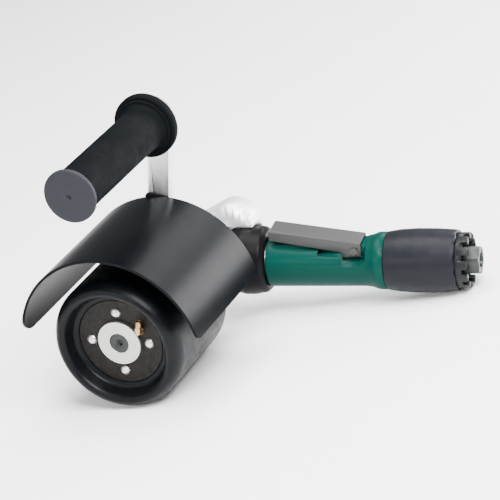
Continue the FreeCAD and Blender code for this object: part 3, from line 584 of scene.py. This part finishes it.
def guard_web(start):
    """The flat web behind the drum, as a fan of faces that look to the front."""
    points = []
    faces = []
    for k in range(WEB_STEPS + 1):
        angle = math.radians(WEB_START + (WEB_END - WEB_START) * k / WEB_STEPS)
        for r in (WEB_INNER_R, GUARD_R - WEB_OVERLAP):
            points.append((r * math.cos(angle), r * math.sin(angle), GUARD_BACK))
    for k in range(WEB_STEPS):
        a = start + 2 * k
        faces.append((a, a + 1, a + 3, a + 2))
    return points, faces


def build_guard():
    """The bent sheet with its rear flap and web, thickened outwards and with rounded rims."""
    rows = [GUARD_FRONT - 0.02]
    for k in range(1, CORNER_ROWS + 1):
        rows.append(GUARD_FRONT - LEFT_CORNER * (1 - math.cos(math.pi / 2 * k / CORNER_ROWS)))
    straight = GUARD_FRONT - LEFT_CORNER
    for k in range(1, MAIN_ROWS + 1):
        rows.append(straight + (GUARD_BACK - straight) * k / MAIN_ROWS)
    points = []
    for d in rows:
        points += guard_row(d)
    stride = MAIN_COLUMNS + FLAP_COLUMNS + 1
    faces = []
    for j in range(len(rows) - 1):
        for k in range(stride - 1):
            a = j * stride + k
            faces.append((a, a + 1, a + stride + 1, a + stride))
    above = (len(rows) - 1) * stride + MAIN_COLUMNS
    for k in range(1, FLAP_ROWS + 1):
        below = len(points)
        row = guard_row(GUARD_BACK + (FLAP_BACK - GUARD_BACK) * k / FLAP_ROWS)
        points += row[MAIN_COLUMNS:]
        for c in range(FLAP_COLUMNS):
            faces.append((above + c, above + c + 1, below + c + 1, below + c))
        above = below
    web_points, web_faces = guard_web(len(points))
    sheet = make_object("guard_sheet", points + web_points, faces + web_faces, DRUM)
    thick = sheet.modifiers.new("sheet", "SOLIDIFY")
    thick.thickness = GUARD_SHEET * MM
    thick.offset = 1.0
    edge = sheet.modifiers.new("rim", "BEVEL")
    edge.width = GUARD_RIM * MM
    edge.segments = 3
    edge.limit_method = "ANGLE"
    edge.angle_limit = math.radians(50)
    smooth(sheet)
    stand_for(sheet, "guard")


# ---- side handle, in millimetres ----
GRIP_FRONT = 69.6
GRIP_BACK = -58.0
GRIP_BORE_R = 10.2
FLANGE_R = 24.65
PLUG_FRONT = 73.0
PLUG_R = 20.0
PLUG_THICK = 3.4


def build_grip():
    """The rubber sleeve: slightly fuller front end, plain barrel and a stepped rear flange."""
    front = GRIP_FRONT
    back = GRIP_BACK
    outline = rounded([
        (GRIP_BORE_R, front), (17.2, front, 0.4), (17.2, front - 3.0, 2.5),
        (16.9, front - 6.0, 4.0), (16.9, back + 13.0, 3.0), (19.0, back + 9.5, 1.2),
        (21.2, back + 9.5, 0.8), (21.2, back + 7.4, 0.5), (23.4, back + 7.4, 0.8),
        (FLANGE_R, back + 6.0, 1.0), (FLANGE_R, back, 1.6), (GRIP_BORE_R, back)])
    stand_for(turned("grip_rubber_sleeve", outline, HANDLE, 144), "grip_sleeve")


def build_grip_plug():
    """The cap over the grip's front end, slightly domed and with a centre dimple."""
    front = PLUG_FRONT
    back = front - PLUG_THICK
    outline = rounded([
        (0, back), (PLUG_R, back, 0.6), (PLUG_R, front, 1.4), (10.0, front + 0.65, 8.0),
        (2.1, front + 0.85, 0.5), (1.2, front - 0.6, 0.4), (0, front - 0.9)])
    stand_for(turned("grip_plug_disc", outline, HANDLE, 96), "grip_end_plug")


# ---- motor, in millimetres along its axis ----
COLLAR_RISE = 1.6
COLLAR_START = 30.2
COLLAR_END = 61.9
COLLAR_BORE_R = 17.4
SLEEVE_START = 154.2
SLEEVE_END = 209.0
SLEEVE_BORE_R = 19.1
SCALLOP_START = 205.5
SCALLOP_FADE = 3.0
SCALLOP_DEPTH = 0.7
SCALLOP_COUNT = 12


def build_collar():
    """The barrel-shaped collar between gear head and housing, set a little towards the lever."""
    outline = rounded([
        (COLLAR_BORE_R, COLLAR_START), (22.8, COLLAR_START, 1.0), (24.6, 34.3, 4.0),
        (26.8, 43.0, 8.0), (26.8, 50.0, 8.0), (25.3, 59.0, 3.0), (22.9, 61.7, 0.8),
        (17.6, COLLAR_END, 0.3), (COLLAR_BORE_R, COLLAR_END)])
    spot = MOTOR @ Matrix.Translation((COLLAR_RISE, 0, 0))
    stand_for(turned("neck_collar_shell", outline, spot, 144), "neck_collar")


def build_sleeve():
    """The grey rear sleeve; its rear lip is scalloped where the ring's lugs meet it."""
    def scallop(angle, r, z):
        share = max(0.0, min(1.0, (z - SCALLOP_START) / SCALLOP_FADE))
        wave = 0.5 + 0.5 * math.cos(SCALLOP_COUNT * angle)
        return r, z - SCALLOP_DEPTH * share * wave * wave
    outline = rounded([
        (SLEEVE_BORE_R, SLEEVE_START), (21.2, SLEEVE_START, 0.3), (22.2, 155.2, 0.6),
        (23.6, 164.5, 12.0), (24.3, 177.0, 20.0), (24.1, 192.0, 20.0), (23.2, 206.0, 6.0),
        (22.9, 208.4, 0.8), (21.8, SLEEVE_END, 0.5), (SLEEVE_BORE_R, SLEEVE_END, 0.2)])
    stand_for(turned("rear_sleeve_shell", outline, MOTOR, 240, scallop), "exhaust_sleeve")


build_tyre()
build_plates()
build_plate_screws()
build_washer()
build_guard()
build_grip()
build_grip_plug()
build_collar()
build_sleeve()
dress_cad_nodes()


# ---- floor, light and camera, in metres ----
FLOOR_HALF = 4.0
WORLD_STRENGTH = 0.5
LIGHT_TARGET = (0.05, 0.03, 0.0)


def build_floor():
    """A pale square floor under the lowest point of the tool."""
    z = cad_bounds[0].z
    half = FLOOR_HALF
    corners = [(-half, -half, z), (half, -half, z), (half, half, z), (-half, half, z)]
    floor = make_object("bench_floor", corners, [(0, 1, 2, 3)], Matrix.Identity(4))
    made = Surface("pale_floor", (0.93, 0.93, 0.93), 0.7)
    made.rough(made.noise(0.05, 4), 0.65, 0.75)
    floor.data.materials.append(made.material)


def area_light(name, place, width, height, power):
    """A white rectangular lamp of so many watts, turned to the tool."""
    data = bpy.data.lights.new(name, "AREA")
    data.shape = "RECTANGLE"
    data.size = width
    data.size_y = height
    data.energy = power
    lamp = bpy.data.objects.new(name, data)
    lamp.location = place
    way = Vector(LIGHT_TARGET) - Vector(place)
    lamp.rotation_euler = way.to_track_quat("-Z", "Y").to_euler()
    bpy.context.scene.collection.objects.link(lamp)


def build_light():
    """An even white world and six lamps."""
    world = bpy.data.worlds.new("studio")
    world.use_nodes = True
    background = world.node_tree.nodes["Background"]
    background.inputs["Color"].default_value = (1, 1, 1, 1)
    background.inputs["Strength"].default_value = WORLD_STRENGTH
    bpy.context.scene.world = world
    area_light("key", (0.9, -0.5, 1.2), 0.9, 0.7, 85)
    area_light("fill", (-0.9, -0.9, 0.7), 0.8, 0.8, 8)
    area_light("front", (-0.15, -1.4, 0.69), 1.0, 0.22, 14)
    area_light("back", (0.4, 1.3, 0.8), 0.8, 0.6, 16)
    area_light("top", (0.0, 0.2, 2.2), 1.5, 1.5, 115)
    area_light("side", (1.0, 1.2, 0.2), 0.8, 0.6, 42)


VIEW_AZIMUTH = 29.098
VIEW_ELEVATION = 20.822
VIEW_ROLL = -15.940
VIEW_DISTANCE = 1.775
VIEW_TARGET = Vector((0.07473, 0.05242, 0.02504))
VIEW_LENS = 172.86
SENSOR_WIDTH = 36.0
CLIP_END = 100.0


def build_camera():
    """The camera at its viewing angle, rolled about its own axis."""
    azimuth = math.radians(VIEW_AZIMUTH)
    elevation = math.radians(VIEW_ELEVATION)
    level_share = math.cos(elevation)
    back = Vector((math.sin(azimuth) * level_share, -math.cos(azimuth) * level_share,
                   math.sin(elevation)))
    level = Vector((0, 0, 1)).cross(back).normalized()
    turn = columns(level, back.cross(level), back, VIEW_TARGET + back * VIEW_DISTANCE)
    data = bpy.data.cameras.new("photo_camera")
    data.lens = VIEW_LENS
    data.sensor_width = SENSOR_WIDTH
    data.clip_end = CLIP_END
    camera = bpy.data.objects.new("photo_camera", data)
    camera.matrix_world = turn @ Matrix.Rotation(math.radians(VIEW_ROLL), 4, "Z")
    bpy.context.scene.collection.objects.link(camera)
    bpy.context.scene.camera = camera


build_floor()
build_light()
build_camera()
